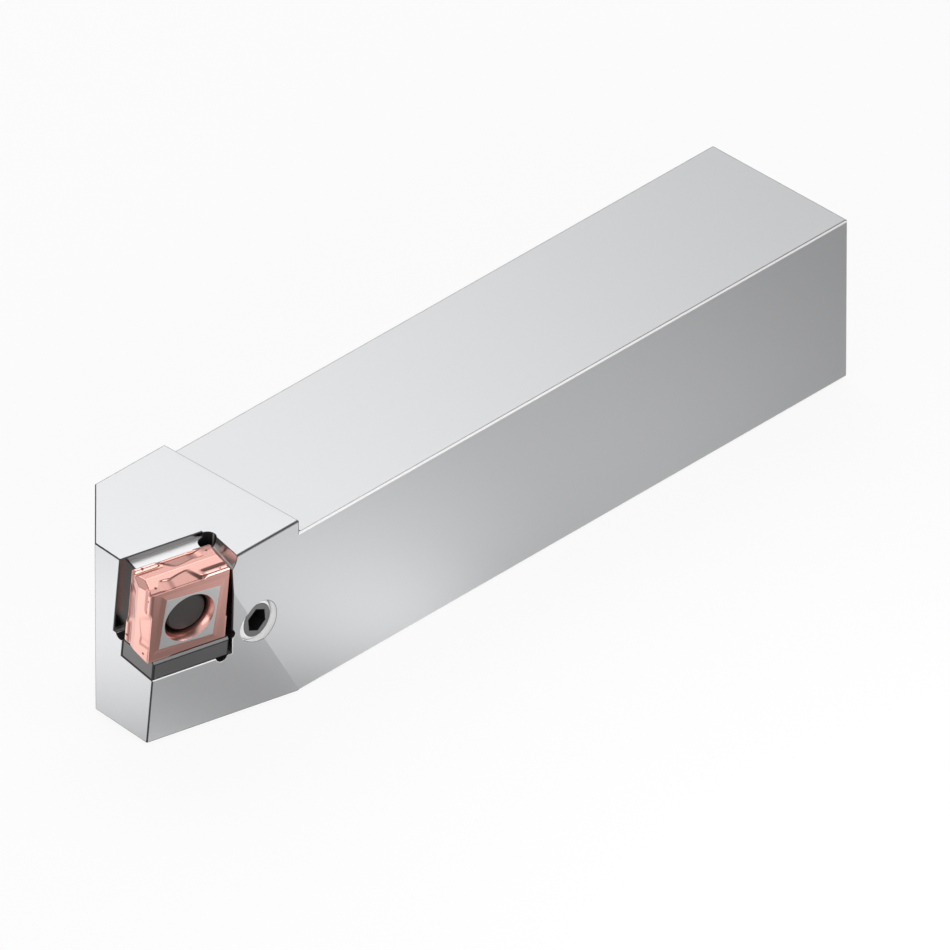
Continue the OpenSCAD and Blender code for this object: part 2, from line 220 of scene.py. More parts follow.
# %% How much of the floor glows
# Reflected rays see only the glow, the camera sees it with a share of the lit floor, and the rest of
# the light falls on the lit floor alone.
SHADOW_SHARE = 0.12
path = add_node(floor_tree, "ShaderNodeLightPath")
reflected = add_node(floor_tree, "ShaderNodeMath", operation="MAXIMUM")
floor_tree.links.new(path.outputs["Is Glossy Ray"], reflected.inputs[0])
floor_tree.links.new(path.outputs["Is Transmission Ray"], reflected.inputs[1])
glow_share = add_node(floor_tree, "ShaderNodeMath", operation="MULTIPLY_ADD")
glow_share.inputs[1].default_value = 1 - SHADOW_SHARE
floor_tree.links.new(path.outputs["Is Camera Ray"], glow_share.inputs[0])
floor_tree.links.new(reflected.outputs[0], glow_share.inputs[2])
glow = add_node(floor_tree, "ShaderNodeEmission", Color=(1, 1, 1, 1))
floor_tree.links.new(white_for_camera(floor_tree, path, pools), glow.inputs["Strength"])
floor_mix = add_node(floor_tree, "ShaderNodeMixShader")
floor_tree.links.new(glow_share.outputs[0], floor_mix.inputs[0])
floor_tree.links.new(floor_shader.outputs[0], floor_mix.inputs[1])
floor_tree.links.new(glow.outputs[0], floor_mix.inputs[2])
floor_tree.links.new(floor_mix.outputs[0], floor_tree.nodes["Material Output"].inputs[0])
print("floor nodes", len(floor_tree.nodes))

# %% A dim sky with soft windows
SKY_TONE = 0.1
# Each window has its direction, the angles in degrees between which it fades, and its strength.
WINDOWS = (((0.6, 0.1, 0.79), 15, 32, 0.76), ((0.62, 0.42, 0.66), 25, 42, 0.36),
           ((-0.6, 0.6, 0.4), 10, 40, 0.7), ((-0.8, -0.45, 0.35), 15, 45, 0.9),
           ((0.1, -0.95, 0.3), 10, 45, 0.5), ((0.2, 0.9, 0.25), 10, 35, 0.4))
world = bpy.data.worlds.new("world")
bpy.context.scene.world = world
world.use_nodes = True
sky_tree = world.node_tree
sky = sky_tree.nodes["Background"]
sky.inputs["Color"].default_value = (1, 1, 1, 1)
direction = add_node(sky_tree, "ShaderNodeTexCoord")
windows = SKY_TONE
for toward, core, rim, strength in WINDOWS:
    facing = add_node(sky_tree, "ShaderNodeVectorMath", operation="DOT_PRODUCT")
    facing.inputs[1].default_value = Vector(toward).normalized()
    sky_tree.links.new(direction.outputs["Generated"], facing.inputs[0])
    windows = soft_patch(sky_tree, windows, facing.outputs["Value"], math.cos(math.radians(core)),
                         math.cos(math.radians(rim)), strength)
sky_path = add_node(sky_tree, "ShaderNodeLightPath")
sky_tree.links.new(white_for_camera(sky_tree, sky_path, windows), sky.inputs["Strength"])
print("sky with", len(WINDOWS), "windows")


# %% Soft lamps
def soft_lamp(name, place, aim, size, power):
    """A square area lamp at place, in metres, turned to face aim."""
    lamp_data = bpy.data.lights.new(name, "AREA")
    lamp_data.size = size
    lamp_data.energy = power
    lamp = add_object(name, lamp_data)
    lamp.location = place
    lamp.rotation_mode = "QUATERNION"
    lamp.rotation_quaternion = (Vector(aim) - Vector(place)).to_track_quat("-Z", "Y")
    lamp.visible_camera = False
    print(name, "power", power)


soft_lamp("lamp_back", (0.12, 0.25, 0.4), (0, 0, 0.02), 0.35, 0.63)
soft_lamp("lamp_front", (0.03, -0.16, 0.05), (-0.01, 0, 0.01), 0.12, 0.15)
soft_lamp("lamp_left", (-0.2, 0.02, 0.06), (0, 0, 0.01), 0.15, 0.1)

# %% [markdown]
# ## Ground steel
# The shank and head are ground and plated: nearly mirror-flat, but with a fine grain that blurs what
# they reflect. Painted-on noise would slide in scale, so the grain is one small node group that bumps
# the surface and shifts its roughness, and each finish sets its own amount.

# %% A grain that several finishes share
GRAIN_HEIGHT = 0.02 * MM


def make_grain_group():
    """Node group: fine speckle as a roughness and a normal."""
    group = bpy.data.node_groups.new("fine_grain", "ShaderNodeTree")
    for name, value in (("Scale", 9000.0), ("Depth", 0.1), ("Roughness", 0.4), ("Spread", 0.05)):
        socket = group.interface.new_socket(name, in_out="INPUT", socket_type="NodeSocketFloat")
        socket.default_value = value
    group.interface.new_socket("Roughness", in_out="OUTPUT", socket_type="NodeSocketFloat")
    group.interface.new_socket("Normal", in_out="OUTPUT", socket_type="NodeSocketVector")
    start = add_node(group, "NodeGroupInput")
    end = add_node(group, "NodeGroupOutput")
    place = add_node(group, "ShaderNodeTexCoord")
    speckle = add_node(group, "ShaderNodeTexNoise", Detail=2.0)
    group.links.new(place.outputs["Object"], speckle.inputs["Vector"])
    group.links.new(start.outputs["Scale"], speckle.inputs["Scale"])
    centred = add_node(group, "ShaderNodeMath", operation="SUBTRACT")
    centred.inputs[1].default_value = 0.5
    group.links.new(speckle.outputs["Fac"], centred.inputs[0])
    spread = add_node(group, "ShaderNodeMath", operation="MULTIPLY_ADD")
    group.links.new(centred.outputs[0], spread.inputs[0])
    group.links.new(start.outputs["Spread"], spread.inputs[1])
    group.links.new(start.outputs["Roughness"], spread.inputs[2])
    bump = add_node(group, "ShaderNodeBump", Distance=GRAIN_HEIGHT)
    group.links.new(start.outputs["Depth"], bump.inputs["Strength"])
    group.links.new(speckle.outputs["Fac"], bump.inputs["Height"])
    group.links.new(spread.outputs[0], end.inputs["Roughness"])
    group.links.new(bump.outputs[0], end.inputs["Normal"])
    return group


grain_group = make_grain_group()


def add_grain(tree, shader, scale, depth, roughness, spread):
    """Places the grain in a material and joins it to the shader."""
    grain = tree.nodes.new("ShaderNodeGroup")
    grain.node_tree = grain_group
    for name, value in (("Scale", scale), ("Depth", depth), ("Roughness", roughness), ("Spread", spread)):
        grain.inputs[name].default_value = value
    tree.links.new(grain.outputs["Roughness"], shader.inputs["Roughness"])
    tree.links.new(grain.outputs["Normal"], shader.inputs["Normal"])


print("grain nodes", len(grain_group.nodes))

# %% Steel finishes
STEEL_GRAIN = 7000


def steel(name, colour, roughness, depth=0.12, spread=0.06, metallic=1.0):
    """Ground steel with a fine grain."""
    material, tree, shader = new_material(name, colour, roughness, metallic)
    add_grain(tree, shader, STEEL_GRAIN, depth, roughness, spread)
    return material


satin_steel = steel("satin_steel", (0.62, 0.625, 0.635), 0.4, metallic=0.8)
# Milled steel for the seat's walls: its lower roughness is the milled finish, and its darker colour is painted
# shade.
milled_steel_painted_shade = steel("milled_steel_painted_shade", (0.33, 0.32, 0.315), 0.2, depth=0.05)
# The next five finishes paint light and shade: three are painted shade lines for bevels, one a painted
# highlight, and one painted black shade for recesses.
painted_grey_edge_shade = steel("painted_grey_edge_shade", (0.22, 0.22, 0.225), 0.5, metallic=0.5)
painted_edge_shade = steel("painted_edge_shade", (0.05, 0.05, 0.052), 0.5, metallic=0.5)
painted_black_edge_shade = steel("painted_black_edge_shade", (0.015, 0.015, 0.015), 0.5, metallic=0.2)
painted_highlight = steel("painted_highlight", (0.85, 0.85, 0.85), 0.5, metallic=0.1)
painted_recess_shade = steel("painted_recess_shade", (0.012, 0.011, 0.011), 0.5, metallic=0.2)
dark_carbide = steel("dark_carbide", (0.13, 0.13, 0.13), 0.35, metallic=0.6)
lever_steel = steel("lever_steel", (0.045, 0.042, 0.041), 0.45, metallic=0.3)
screw_steel = steel("screw_steel", (0.7, 0.7, 0.71), 0.25)
screw_face = steel("screw_face", (0.14, 0.14, 0.142), 0.4, metallic=0.5)
black_steel = steel("black_steel", (0.03, 0.03, 0.03), 0.4)
print("materials", len(bpy.data.materials))

# %% [markdown]
# ## The holder's edges and recesses
# Every ground edge is broken by a tenth or two, and that break carries a thin painted line: a painted
# highlight where it looks to the front, painted grey shade along the front of the top, and painted dark
# shade elsewhere. The packed mesh is loose triangles, so a copy is merged, its flat faces are joined,
# and its outward edges are bevelled. The seat's walls are milled and reflect the insert, and their darker
# colour is painted shade; the drilled reliefs and the back of the seat are painted black shade inside.

# %% Copy a imported node and break its edges
MERGE_DISTANCE = 0.002 * MM
FLAT_ANGLE = math.radians(0.6)
SHARP_ANGLE = math.radians(25)
SQUARE_ANGLE = math.radians(60)
LONG_EDGE = 1.5 * MM
EDGE_BREAK = 0.17 * MM
SHORT_SHARE = 0.4
EDGE_SLOT = 1


def merged_copy(node_name):
    """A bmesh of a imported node, with its loose triangles merged and its flat faces joined."""
    shape = bmesh.new()
    shape.from_mesh(nodes[node_name].data)
    bmesh.ops.remove_doubles(shape, verts=shape.verts, dist=MERGE_DISTANCE)
    bmesh.ops.dissolve_limit(shape, angle_limit=FLAT_ANGLE, verts=shape.verts, edges=shape.edges)
    return shape


def with_broken_edges(shape, node_name, width, short_share, materials):
    """A piece made of a bmesh, with narrow bevels, in the second material, on its outward edges.

    Long square edges get the whole width, and the others its short_share.
    """
    weight = shape.edges.layers.float.new("bevel_weight_edge")
    for face in shape.faces:
        face.material_index = 0
    for edge in shape.edges:
        angle = edge.calc_face_angle(0)
        if len(edge.link_faces) == 2 and edge.is_convex and angle > SHARP_ANGLE:
            long_and_square = angle > SQUARE_ANGLE and edge.calc_length() > LONG_EDGE
            edge[weight] = 1.0 if long_and_square else short_share
    mesh = bpy.data.meshes.new(node_name + "_merged")
    shape.to_mesh(mesh)
    shape.free()
    piece = add_object(node_name + "_finished", mesh)
    for material in materials:
        mesh.materials.append(material)
    bevel = piece.modifiers.new("edge_break", "BEVEL")
    bevel.width = width
    bevel.segments = 3
    bevel.limit_method = "WEIGHT"
    bevel.material = EDGE_SLOT
    bevel.use_clamp_overlap = False
    bevel.miter_outer = "MITER_ARC"
    done = bpy.data.meshes.new_from_object(piece.evaluated_get(bpy.context.evaluated_depsgraph_get()))
    done.name = node_name + "_finished"
    piece.modifiers.clear()
    piece.data = done
    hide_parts(node_name)
    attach(piece, nodes[node_name]["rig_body"])
    print(piece.name, "faces", len(done.polygons))
    return piece


holder_finishes = [satin_steel, painted_edge_shade, painted_highlight, milled_steel_painted_shade, painted_recess_shade, painted_grey_edge_shade]
holder_finished = with_broken_edges(merged_copy("holder"), "holder", EDGE_BREAK, SHORT_SHARE, holder_finishes)

# %% Which finish a face of the holder takes
SATIN, PAINTED_EDGE_SHADE, PAINTED_HIGHLIGHT, MILLED_PAINTED_SHADE, PAINTED_RECESS_SHADE, PAINTED_GREY_EDGE_SHADE = range(6)
# The seat's hollow in its own frame: its left and right, its foot and top, and its front and back.
SEAT_LEFT = -5.6
BESIDE_SEAT = 9.0
SEAT_RIGHT = 9.2
SEAT_FOOT = -10.5
SHIM_LEVEL = -5.5
SEAT_TOP = 7.3
SEAT_FRONT = 0.3
SEAT_BACK = 8.8
BROAD_FACE = 6 * MM
NARROW_STRIP = 0.3 * MM
# Each drilled relief has a point on its axis, the number of that axis, and its radius.
RELIEF_RODS = (((6.35, 6.86, 0), 2, 1.15), ((6.75, 0, -6.0), 1, 0.8), ((5.75, 0, -9.35), 1, 0.8),
               ((0, 7.0, -6.11), 0, 0.8))
RELIEF_MARGIN = 0.08
into_seat = seat_mm.inverted()
turned_back = seat.inverted().to_3x3()


def mean_width(face):
    """Twice the area over the perimeter: the width of a long narrow face."""
    spots = [holder_finished.data.vertices[index].co for index in face.vertices]
    rim = sum((spot - after).length for spot, after in zip(spots, spots[1:] + spots[:1]))
    return 2 * face.area / rim


def in_relief(spot):
    """Whether a place in the seat's frame lies on the wall of a drilled relief."""
    for middle, axis, radius in RELIEF_RODS:
        apart = spot - Vector(middle)
        apart[axis] = 0
        if apart.length < radius + RELIEF_MARGIN:
            return True
    return False


def holder_finish(face):
    """Which of the holder's finishes a face takes, from where it lies and how it looks."""
    spot = into_seat @ face.center
    looks = face.normal
    below_shim = SEAT_FOOT < spot.z < SHIM_LEVEL and SEAT_LEFT < spot.x < BESIDE_SEAT
    # The bevel's line is a painted highlight where the face looks to the front, and painted dark shade
    # elsewhere.
    line = PAINTED_HIGHLIGHT if looks.y < -0.7 and (face.center.x > 0 or below_shim) else PAINTED_EDGE_SHADE
    if face.material_index == EDGE_SLOT:
        # Along the front of the top, the bevel's line is painted grey shade.
        along_top = looks.z > 0.2 and looks.y < -0.2 and abs(looks.x) < 0.3 and spot.x > BESIDE_SEAT
        return PAINTED_GREY_EDGE_SHADE if line == PAINTED_EDGE_SHADE and along_top else line
    in_seat = spot.y > SEAT_FRONT and spot.x < SEAT_RIGHT and SEAT_FOOT < spot.z < SEAT_TOP
    outer = looks.z > 0.9999 or looks.x < -0.99 or mean_width(face) > BROAD_FACE
    if not in_seat or outer:
        return line if mean_width(face) < NARROW_STRIP and spot.x > SEAT_RIGHT else SATIN
    # The back of the seat and the walls of the drilled reliefs are painted black shade.
    if spot.y > SEAT_BACK or in_relief(spot):
        return PAINTED_RECESS_SHADE
    # Seat faces that look up keep the satin finish; the others are milled, with a darker colour that is
    # painted shade.
    return SATIN if (turned_back @ looks).z > 0.7 else MILLED_PAINTED_SHADE


print("seat's hollow from", SEAT_LEFT, "to", SEAT_RIGHT, "mm")

# %% Give each face of the holder its finish
SCREW_HOLE_R = 3.1 * MM
# The wall of the screw's hole is smoothed and given the painted highlight.
for face in holder_finished.data.polygons:
    from_screw = face.center - screw_axis
    if math.hypot(from_screw.x, from_screw.z) < SCREW_HOLE_R and abs(face.normal.y) < 0.3:
        face.use_smooth = True
        face.material_index = PAINTED_HIGHLIGHT
    else:
        face.material_index = holder_finish(face)
taken = [face.material_index for face in holder_finished.data.polygons]
print("holder faces in each finish", [taken.count(finish) for finish in range(len(holder_finishes))])

# %% [markdown]
# ## The insert
# A tangential insert is pressed from powder, so its narrow sides carry the whole chip former: a ridge
# along the middle, a groove behind each cutting edge, and a round nose at the other end. It looks the
# same when it is turned to its next side or flipped over, so one patch, from the middle of the bore to
# the middle of one narrow side, makes the whole insert when it is copied eight times. The patch is a
# flat grid whose rows are moved out to where the form lies. Below, a runs along the cutting edge and c
# up from the insert's middle, and v runs back from its big face, all in millimetres.

# %% Curves that the form is made of
def ease(low, high, x):
    """Runs from 0 at low to 1 at high along a smooth S; low may be the larger."""
    share = min(1.0, max(0.0, (x - low) / (high - low)))
    return share * share * (3 - 2 * share)


def soft_min(first, second, blend):
    """The smaller of two heights, with a round blend where they meet."""
    share = min(1.0, max(0.0, 0.5 + 0.5 * (second - first) / blend))
    return second + (first - second) * share - blend * share * (1 - share) / 2


def along(points, x):
    """The height at x of a line through points."""
    for (x0, y0), (x1, y1) in zip(points, points[1:]):
        if x <= x1:
            return y0 + (y1 - y0) * max(0.0, x - x0) / (x1 - x0)
    return points[-1][1]


print("halfway along an S", ease(0, 1, 0.5))

# %% The floor of the chip groove
EDGE_C = 5.85
FALL_DEPTH = 0.24
FALL_RANGE = (0.04, 0.4)
CLIMB_START = 0.3
CLIMB_SLOPE = 0.27
PAD_HEIGHT = 0.14
PAD_RANGE = (-3.2, -4.6)
PAD_BEHIND = (0.1, 0.6)
DIP_DEPTH = 0.08
DIP_START = (-2.0, -3.0)
DIP_STOP = (-4.0, -3.2)
DIP_BEHIND = (0, 0.3)


def groove_floor(a, v):
    """Floor of the chip groove: it drops behind the edge, rises to its back, and has a pad at its end."""
    pad = PAD_HEIGHT * ease(*PAD_RANGE, a)
    dip = DIP_DEPTH * ease(*DIP_START, a) * ease(*DIP_STOP, a)
    fall = FALL_DEPTH * ease(*FALL_RANGE, v) - CLIMB_SLOPE * max(0.0, v - CLIMB_START)
    return EDGE_C - fall + pad * ease(*PAD_BEHIND, v) - dip * ease(*DIP_BEHIND, v)


print("groove floor behind the edge", groove_floor(0, FALL_RANGE[1]))

# %% The form of half a narrow side
RIDGE_SLOPE = math.tan(math.radians(11))
GROOVE_BACK = ((-7.0, 1.45), (-5.5, 1.66), (-3.7, 2.05), (-2.3, 1.9), (-0.9, 2.2), (0.15, 2.35), (2.0, 2.35))
BACK_WALL = (0.14, -0.1)
GROOVE_END = 2.08
END_LEAN = 1.59 / 2.3
END_WALL = 0.46
NOSE_R = 0.6
NOSE_TOP = 6.2
NOSE_START = (1.7, 2.6)
VALLEY_FALL = (0.8, 1.2)
VALLEY_FLOOR = 5.84
VALLEY_RISE = (1.2, 1.8)
# On the flat that cuts each corner, the way out from the middle and the height add up to this.
CORNER_SUM = 11.85
CORNER_BLEND = 0.14
SETTLING_ROUNDS = 30


def nose_height(ridge, v):
    """The nose: its round, the valley behind it, and the rise to the ridge."""
    across = max(0.0, NOSE_R - v)
    nose = NOSE_TOP - NOSE_R + math.sqrt(max(0.0, NOSE_R ** 2 - across ** 2))
    nose += (VALLEY_FLOOR - nose) * ease(*VALLEY_FALL, v)
    return nose + (ridge - nose) * ease(*VALLEY_RISE, v)


def side_height(a, v):
    """Height of the upper narrow side, in millimetres, at a along the edge and v behind the face."""
    if v > INSERT_T / 2:
        return side_height(-a, INSERT_T - v)
    ridge = INSERT_HALF - (INSERT_T / 2 - v) * RIDGE_SLOPE
    back = along(GROOVE_BACK, a)
    end = GROOVE_END - v * END_LEAN
    inside = ease(back + BACK_WALL[0], back + BACK_WALL[1], v) * ease(end + END_WALL, end - END_WALL, a)
    height = ridge + (min(ridge, groove_floor(a, v)) - ridge) * inside
    height += (nose_height(ridge, v) - height) * ease(*NOSE_START, a)
    return soft_min(height, CORNER_SUM - abs(a), CORNER_BLEND)


def side_corners(v):
    """Where the upper side ends at v: its left and right corners, shared with the next sides."""
    right = CORNER_SUM / 2
    for _ in range(SETTLING_ROUNDS):
        right = side_height(-side_height(right, v), v)
    return -side_height(right, v), right


print("corners of the side at its edge", side_corners(0.0))

# %% [markdown]
# The rows of the patch run from the bore over its mouth, which is nearly a cone, the ground land and
# the relieved border to the edge, and then over the narrow side. Close to the edge they follow the
# nose's round. Each row is a function that gives a place for a share of the way along it.

# %% The big face outside its land
LAND_HALF = 4.12
LAND_TURN = math.radians(-4)
BEVEL_WIDTH = 0.55
BEVEL_SLOPE = 0.3
RELIEF = math.tan(math.radians(2))
# The raised flank below each nose starts at this point and looks this way.
FLANK_FOOT = (1.3, 5.7)
FLANK_LOOKS = (0.6, 0.8)
FLANK_BLEND = 0.3
FLANK_DEPTH = 0.182
SIDE_OVERLAP = 0.5


def on_land(share):
    """A point on the upper edge of the turned square land."""
    x = (2 * share - 1) * LAND_HALF
    cosine, sine = math.cos(LAND_TURN), math.sin(LAND_TURN)
    return x * cosine - LAND_HALF * sine, x * sine + LAND_HALF * cosine


def relief_depth(a, c):
    """Depth of the big face outside its land: a bevel down from the land, then a slight fall.

    Below each nose the face falls a little less, to support the edge.
    """
    cosine, sine = math.cos(LAND_TURN), math.sin(LAND_TURN)
    outside = max(abs(a * cosine + c * sine), abs(c * cosine - a * sine)) - LAND_HALF
    bevel = min(max(outside, 0.0), BEVEL_WIDTH)
    depth = bevel * BEVEL_SLOPE + max(0.0, outside - BEVEL_WIDTH) * RELIEF
    past_foot = [(x - FLANK_FOOT[0]) * FLANK_LOOKS[0] + (y - FLANK_FOOT[1]) * FLANK_LOOKS[1]
                 for x, y in ((a, c), (c, -a), (-a, -c), (-c, a)) if y >= abs(x) - SIDE_OVERLAP]
    below_nose = max(ease(0, FLANK_BLEND, past) for past in past_foot)
    return depth + (min(depth, FLANK_DEPTH) - depth) * below_nose


print("depth of the face at the middle of its edge", relief_depth(0.0, EDGE_C))

# %% Rows over the bore, its mouth and the land
BORE_R = 3.3
TURNED_DEPTH = 1.6
MOUTH_R = 0.5
MOUTH_DEPTH = 0.85
MOUTH_ROUND = 0.3
MOUTH_STEPS = 7


def on_circle(share, radius, turn):
    """A point on the upper quarter of a circle, turned by an angle."""
    angle = math.radians(135 - 90 * share) + turn
    return radius * math.cos(angle), radius * math.sin(angle)


def between(inner, outer, part):
    """A point part of the way from inner to outer."""
    return inner[0] + (outer[0] - inner[0]) * part, inner[1] + (outer[1] - inner[1]) * part


def bore_row(depth, radius, turn=LAND_TURN):
    """A quarter ring at this depth behind the face."""
    def place(share):
        a, c = on_circle(share, radius, turn)
        return a, depth, c
    return place


def mouth_row(part):
    """A quarter ring of the bore's mouth, part of the way out: mostly a cone, and a little round."""
    turn = math.radians(90 * part)
    across = MOUTH_ROUND * (1 - math.cos(turn)) + (1 - MOUTH_ROUND) * part
    down = MOUTH_ROUND * (1 - math.sin(turn)) + (1 - MOUTH_ROUND) * (1 - part)
    return bore_row(MOUTH_DEPTH * down, BORE_R + MOUTH_R * across)


def land_row(part):
    """A row of the flat land, part of the way from the bore's mouth to the land's edge."""
    def place(share):
        a, c = between(on_circle(share, BORE_R + MOUTH_R, LAND_TURN), on_land(share), part)
        return a, 0.0, c
    return place


rows = [bore_row(INSERT_T / 2, BORE_R, 0), bore_row(TURNED_DEPTH, BORE_R)]
rows += [mouth_row(step / MOUTH_STEPS) for step in range(MOUTH_STEPS + 1)]
land_from = len(rows) - 1
rows += [land_row(part) for part in (0.35, 0.7, 1.0)]
land_to = len(rows) - 1
print("rows to the land's edge", len(rows))

# %% Rows over the border and the narrow side
NOSE_STEPS = 14
UPPER_STEPS = 48


def bevel_row(share):
    """The foot of the bevel round the land."""
    a, c = on_land(share)
    grown = 1 + BEVEL_WIDTH / LAND_HALF
    return a * grown, BEVEL_WIDTH * BEVEL_SLOPE, c * grown


def edge_point(share, v):
    """A point of the narrow side at v, as its a and its height."""
    left, right = side_corners(v)
    a = left + (right - left) * share
    return a, side_height(a, v)


def border_row(part):
    """A row of the border, part of the way from the bevel's foot to the edge."""
    def place(share):
        foot = bevel_row(share)
        a, c = between((foot[0], foot[2]), edge_point(share, 0.0), part)
        return a, relief_depth(a, c), c
    return place


def side_row(v):
    """A row of the narrow side at v; near the face it starts from the relieved border."""
    left, right = side_corners(v)

    def place(share):
        a = left + (right - left) * share
        start = relief_depth(a, side_height(a, 0.0)) * max(0.0, 1 - v / NOSE_R)
        return a, v + start, side_height(a, v)
    return place


rows += [bevel_row]
rows += [border_row(part) for part in (0.35, 0.7)]
side_from = len(rows)
nose_turns = [math.radians(90 * step / NOSE_STEPS) for step in range(NOSE_STEPS + 1)]
rows += [side_row(NOSE_R * (1 - math.cos(turn))) for turn in nose_turns]
rows += [side_row(NOSE_R + (INSERT_T / 2 - NOSE_R) * step / UPPER_STEPS) for step in range(1, UPPER_STEPS + 1)]
print("patch rows", len(rows))

# %% Make the patch
COLUMNS = 132
COAT, LAND, MARK = range(3)
FACE_MARKS = ((-4.27, 4.35), (4.27, 4.35))
SIDE_MARKS = ((-4.9, 1.25), (4.6, 0.8))
MARK_R = 0.19
row_gaps = len(rows) - 1
shape = bmesh.new()
bmesh.ops.create_grid(shape, x_segments=COLUMNS, y_segments=row_gaps, size=1)
for face in shape.faces:
    row = round((face.calc_center_median().y + 1) / 2 * row_gaps - 0.5)
    face.material_index = LAND if land_from <= row < land_to else COAT
for vert in shape.verts:
    share = (vert.co.x + 1) / 2
    row = round((vert.co.y + 1) / 2 * row_gaps)
    vert.co = Vector(rows[row](share))
for face in shape.faces:
    spot = face.calc_center_median()
    on_side = face.index // COLUMNS >= side_from
    marks = SIDE_MARKS if on_side else FACE_MARKS
    away = min(math.dist((spot.x, spot.y if on_side else spot.z), mark) for mark in marks)
    if away < MARK_R and face.material_index == COAT:
        face.material_index = MARK
print("patch faces", len(shape.faces))

# %% Copy the patch round, flip it and join it
SEAM_GAP = 0.004
CREASE_ANGLE = math.radians(28)
patch_faces = COLUMNS * row_gaps


def verts_of(made):
    """The vertices among what a bmesh operator made."""
    return [item for item in made["geom"] if isinstance(item, bmesh.types.BMVert)]


for turn in (1, 2, 3):
    copied = bmesh.ops.duplicate(shape, geom=[face for face in shape.faces if face.index < patch_faces])
    bmesh.ops.rotate(shape, verts=verts_of(copied), cent=(0, 0, 0),
                     matrix=Matrix.Rotation(math.radians(90 * turn), 3, "Y"))
copied = bmesh.ops.duplicate(shape, geom=shape.faces[:])
bmesh.ops.rotate(shape, verts=verts_of(copied), cent=(0, INSERT_T / 2, 0),
                 matrix=Matrix.Rotation(math.pi, 3, "Z"))
bmesh.ops.remove_doubles(shape, verts=shape.verts, dist=SEAM_GAP)
bmesh.ops.recalc_face_normals(shape, faces=shape.faces)
open_edges = sum(1 for edge in shape.edges if not edge.is_manifold)
for face in shape.faces:
    face.smooth = True
for edge in shape.edges:
    edge.smooth = edge.calc_face_angle(0) < CREASE_ANGLE
bmesh.ops.transform(shape, matrix=seat_mm, verts=shape.verts)
insert_mesh = bpy.data.meshes.new("insert_finished")
shape.to_mesh(insert_mesh)
shape.free()
insert_finished = add_object("insert_finished", insert_mesh)
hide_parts("insert")
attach(insert_finished, "holder")
print("insert faces", len(insert_mesh.polygons), "open edges", open_edges)

# %% [markdown]
# ## The insert's finishes
# The coating is a copper-coloured metal, the land round the bore is ground bare and grey, and a few
# plain dots stand beside the corners. Where the grooves close in the coating gets painted shade: the
# Ambient Occlusion node measures how open each place is, and a ramp turns that into a colour between a
# painted brown shade and copper.

# %% Copper coating, ground land and dots
COPPER = (0.73, 0.395, 0.345)
COPPER_PAINTED_SHADE = (0.28, 0.12, 0.1)
COPPER_ROUGHNESS = 0.25
COPPER_GRAIN = 5200
SHADE_REACH = 1.6 * MM
SHADE_OPENNESS = (0.5, 0.97)
# The Mix node keeps its two colours in inputs 6 and 7, and their mix in output 2.
MIX_FIRST, MIX_SECOND, MIX_COLOUR = 6, 7, 2
copper_coat, copper_tree, copper_shader = new_material("copper_coat", COPPER, COPPER_ROUGHNESS, 1.0)
add_grain(copper_tree, copper_shader, COPPER_GRAIN, 0.04, COPPER_ROUGHNESS, 0.04)
# Painted shade: the less open a place is, the nearer its colour comes to the dark brown.
openness = add_node(copper_tree, "ShaderNodeAmbientOcclusion", samples=12, only_local=True,
                    Distance=SHADE_REACH)
how_open = add_ramp(copper_tree, openness.outputs["AO"], *SHADE_OPENNESS, 0, 1)
copper_painted_shade_mix = add_node(copper_tree, "ShaderNodeMix", data_type="RGBA")
copper_painted_shade_mix.inputs[MIX_FIRST].default_value = (*COPPER_PAINTED_SHADE, 1)
copper_painted_shade_mix.inputs[MIX_SECOND].default_value = (*COPPER, 1)
copper_tree.links.new(how_open, copper_painted_shade_mix.inputs[0])
copper_tree.links.new(copper_painted_shade_mix.outputs[MIX_COLOUR], copper_shader.inputs["Base Color"])
ground_land = steel("ground_land", (0.6, 0.6, 0.6), 0.33, metallic=0.8)
copper_mark = steel("copper_mark", (0.16, 0.08, 0.07), 0.5, metallic=0.5)
for material in (copper_coat, ground_land, copper_mark):
    insert_mesh.materials.append(material)
print("insert finishes", insert_mesh.materials.keys())

# %% [markdown]
# ## Shim and shim screw
# The shim is a ground carbide plate with the insert's ridge in a shallow groove of its top. Its outline
# across is drawn once and extruded along the cutting edge, and the plane of the holder's front face
# cuts it flush. Its screw is a small turned body with a countersunk head, which the shim and the
# holder's head hide.

# %% The shim, cut flush with the head's front face
SHIM_FLOOR = -9.35
SHIM_OUTLINE = ((0.24, SHIM_FLOOR), (6.4, SHIM_FLOOR), (6.4, -6.37), (4.5, -6.3), (4.5, -6.07), (3.0, -6.36),
                (1.5, -6.07), (1.5, -6.3), (0.64, -6.3), (0.24, -6.7))
SHIM_LEFT = -12.0
SHIM_LENGTH = 18.7
SHIM_EDGE_BREAK = 0.26 * MM
FRONT_POINT = Vector((-22.14, 0, 0)) * MM
FRONT_LOOKS = Vector((-1.0, 0.0805, -0.021)).normalized()
shape = bmesh.new()
ring = shape.faces.new([shape.verts.new((SHIM_LEFT, v, c)) for v, c in SHIM_OUTLINE])
pulled = bmesh.ops.extrude_face_region(shape, geom=[ring])
bmesh.ops.translate(shape, verts=verts_of(pulled), vec=(SHIM_LENGTH, 0, 0))
bmesh.ops.transform(shape, matrix=seat_mm, verts=shape.verts)
cut = bmesh.ops.bisect_plane(shape, geom=shape.verts[:] + shape.edges[:] + shape.faces[:], dist=1e-7,
                             plane_co=FRONT_POINT, plane_no=FRONT_LOOKS, clear_outer=True)
cut_edges = [item for item in cut["geom_cut"] if isinstance(item, bmesh.types.BMEdge)]
bmesh.ops.contextual_create(shape, geom=cut_edges)
bmesh.ops.recalc_face_normals(shape, faces=shape.faces)
# The shim's bevels carry painted black shade lines.
shim_finished = with_broken_edges(shape, "shim", SHIM_EDGE_BREAK, SHORT_SHARE, [dark_carbide, painted_black_edge_shade])

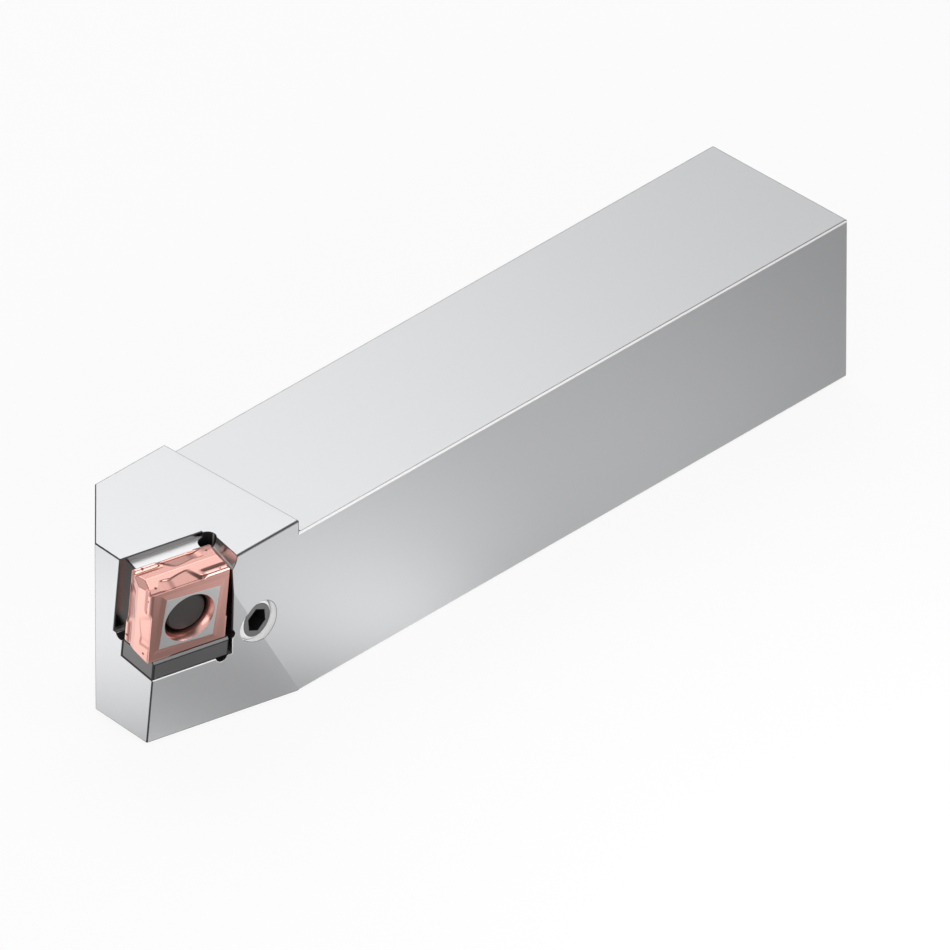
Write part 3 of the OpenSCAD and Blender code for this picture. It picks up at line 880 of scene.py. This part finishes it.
# %% The shim's screw
SHIM_SCREW_OUTLINE = ((0.0, -16.3), (1.55, -16.3), (1.75, -16.1), (1.75, -7.5), (2.5, -6.75), (1.15, -6.75),
                      (1.15, -8.1), (0.0, -8.1))
SHIM_SCREW_Y = INSERT_T / 2
SPIN_STEPS = 40
SPIN_MERGE = 0.001
shape = bmesh.new()
spun = [shape.verts.new((radius, SHIM_SCREW_Y, c)) for radius, c in SHIM_SCREW_OUTLINE]
profile = [shape.edges.new(pair) for pair in zip(spun, spun[1:])]
bmesh.ops.spin(shape, geom=spun + profile, cent=(0, SHIM_SCREW_Y, 0), axis=(0, 0, 1), angle=math.tau,
               steps=SPIN_STEPS, use_merge=True)
bmesh.ops.remove_doubles(shape, verts=shape.verts, dist=SPIN_MERGE)
bmesh.ops.recalc_face_normals(shape, faces=shape.faces)
bmesh.ops.transform(shape, matrix=seat_mm, verts=shape.verts)
screw_mesh = bpy.data.meshes.new("shim_screw_finished")
shape.to_mesh(screw_mesh)
shape.free()
screw_mesh.materials.append(black_steel)
shim_screw_finished = add_object("shim_screw_finished", screw_mesh)
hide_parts("shim_screw")
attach(shim_screw_finished, "holder")
print("shim screw faces", len(screw_mesh.polygons))

# %% [markdown]
# ## Lever and lever screw
# Of the screw only its end shows: a dark ground face with a socket in painted black shade, inside a
# chamfer that carries a painted highlight. The imported screw already has the chamfer and the socket,
# so each of its faces takes the finish of the place where it lies. The lever keeps its imported mesh,
# because only its dark end can be seen in the insert's bore.

# %% Finishes of the lever screw
# The edge slot holds a painted shade line, the socket painted black shade, and the chamfer a painted
# highlight.
PLAIN, EDGE, FACE, SOCKET, CHAMFER = range(5)
SCREW_EDGE_BREAK = 0.04 * MM
FACE_RADIUS = 2.42 * MM
SOCKET_RADIUS = 1.75 * MM
SOCKET_START = 1 * MM
SHOWN_LENGTH = 4 * MM
lever_screw_finished = with_broken_edges(merged_copy("lever_screw"), "lever_screw", SCREW_EDGE_BREAK, 1.0,
                                         [screw_steel, painted_edge_shade, screw_face, painted_recess_shade, painted_highlight])
for face in lever_screw_finished.data.polygons:
    apart = face.center - screw_axis
    radius = math.hypot(apart.x, apart.z)
    if face.material_index == EDGE or apart.y > SHOWN_LENGTH:
        continue
    if radius < SOCKET_RADIUS and (abs(face.normal.y) < 0.5 or apart.y > SOCKET_START):
        face.material_index = SOCKET
    elif radius < FACE_RADIUS:
        face.material_index = FACE
    elif abs(face.normal.y) > 0.3:
        face.material_index = CHAMFER
taken = [face.material_index for face in lever_screw_finished.data.polygons]
slots = (PLAIN, EDGE, FACE, SOCKET, CHAMFER)
print("screw faces in each finish", [taken.count(slot) for slot in slots])

# %% The lever
nodes["lever"].data.materials.clear()
nodes["lever"].data.materials.append(lever_steel)
print("lever faces", len(nodes["lever"].data.polygons))
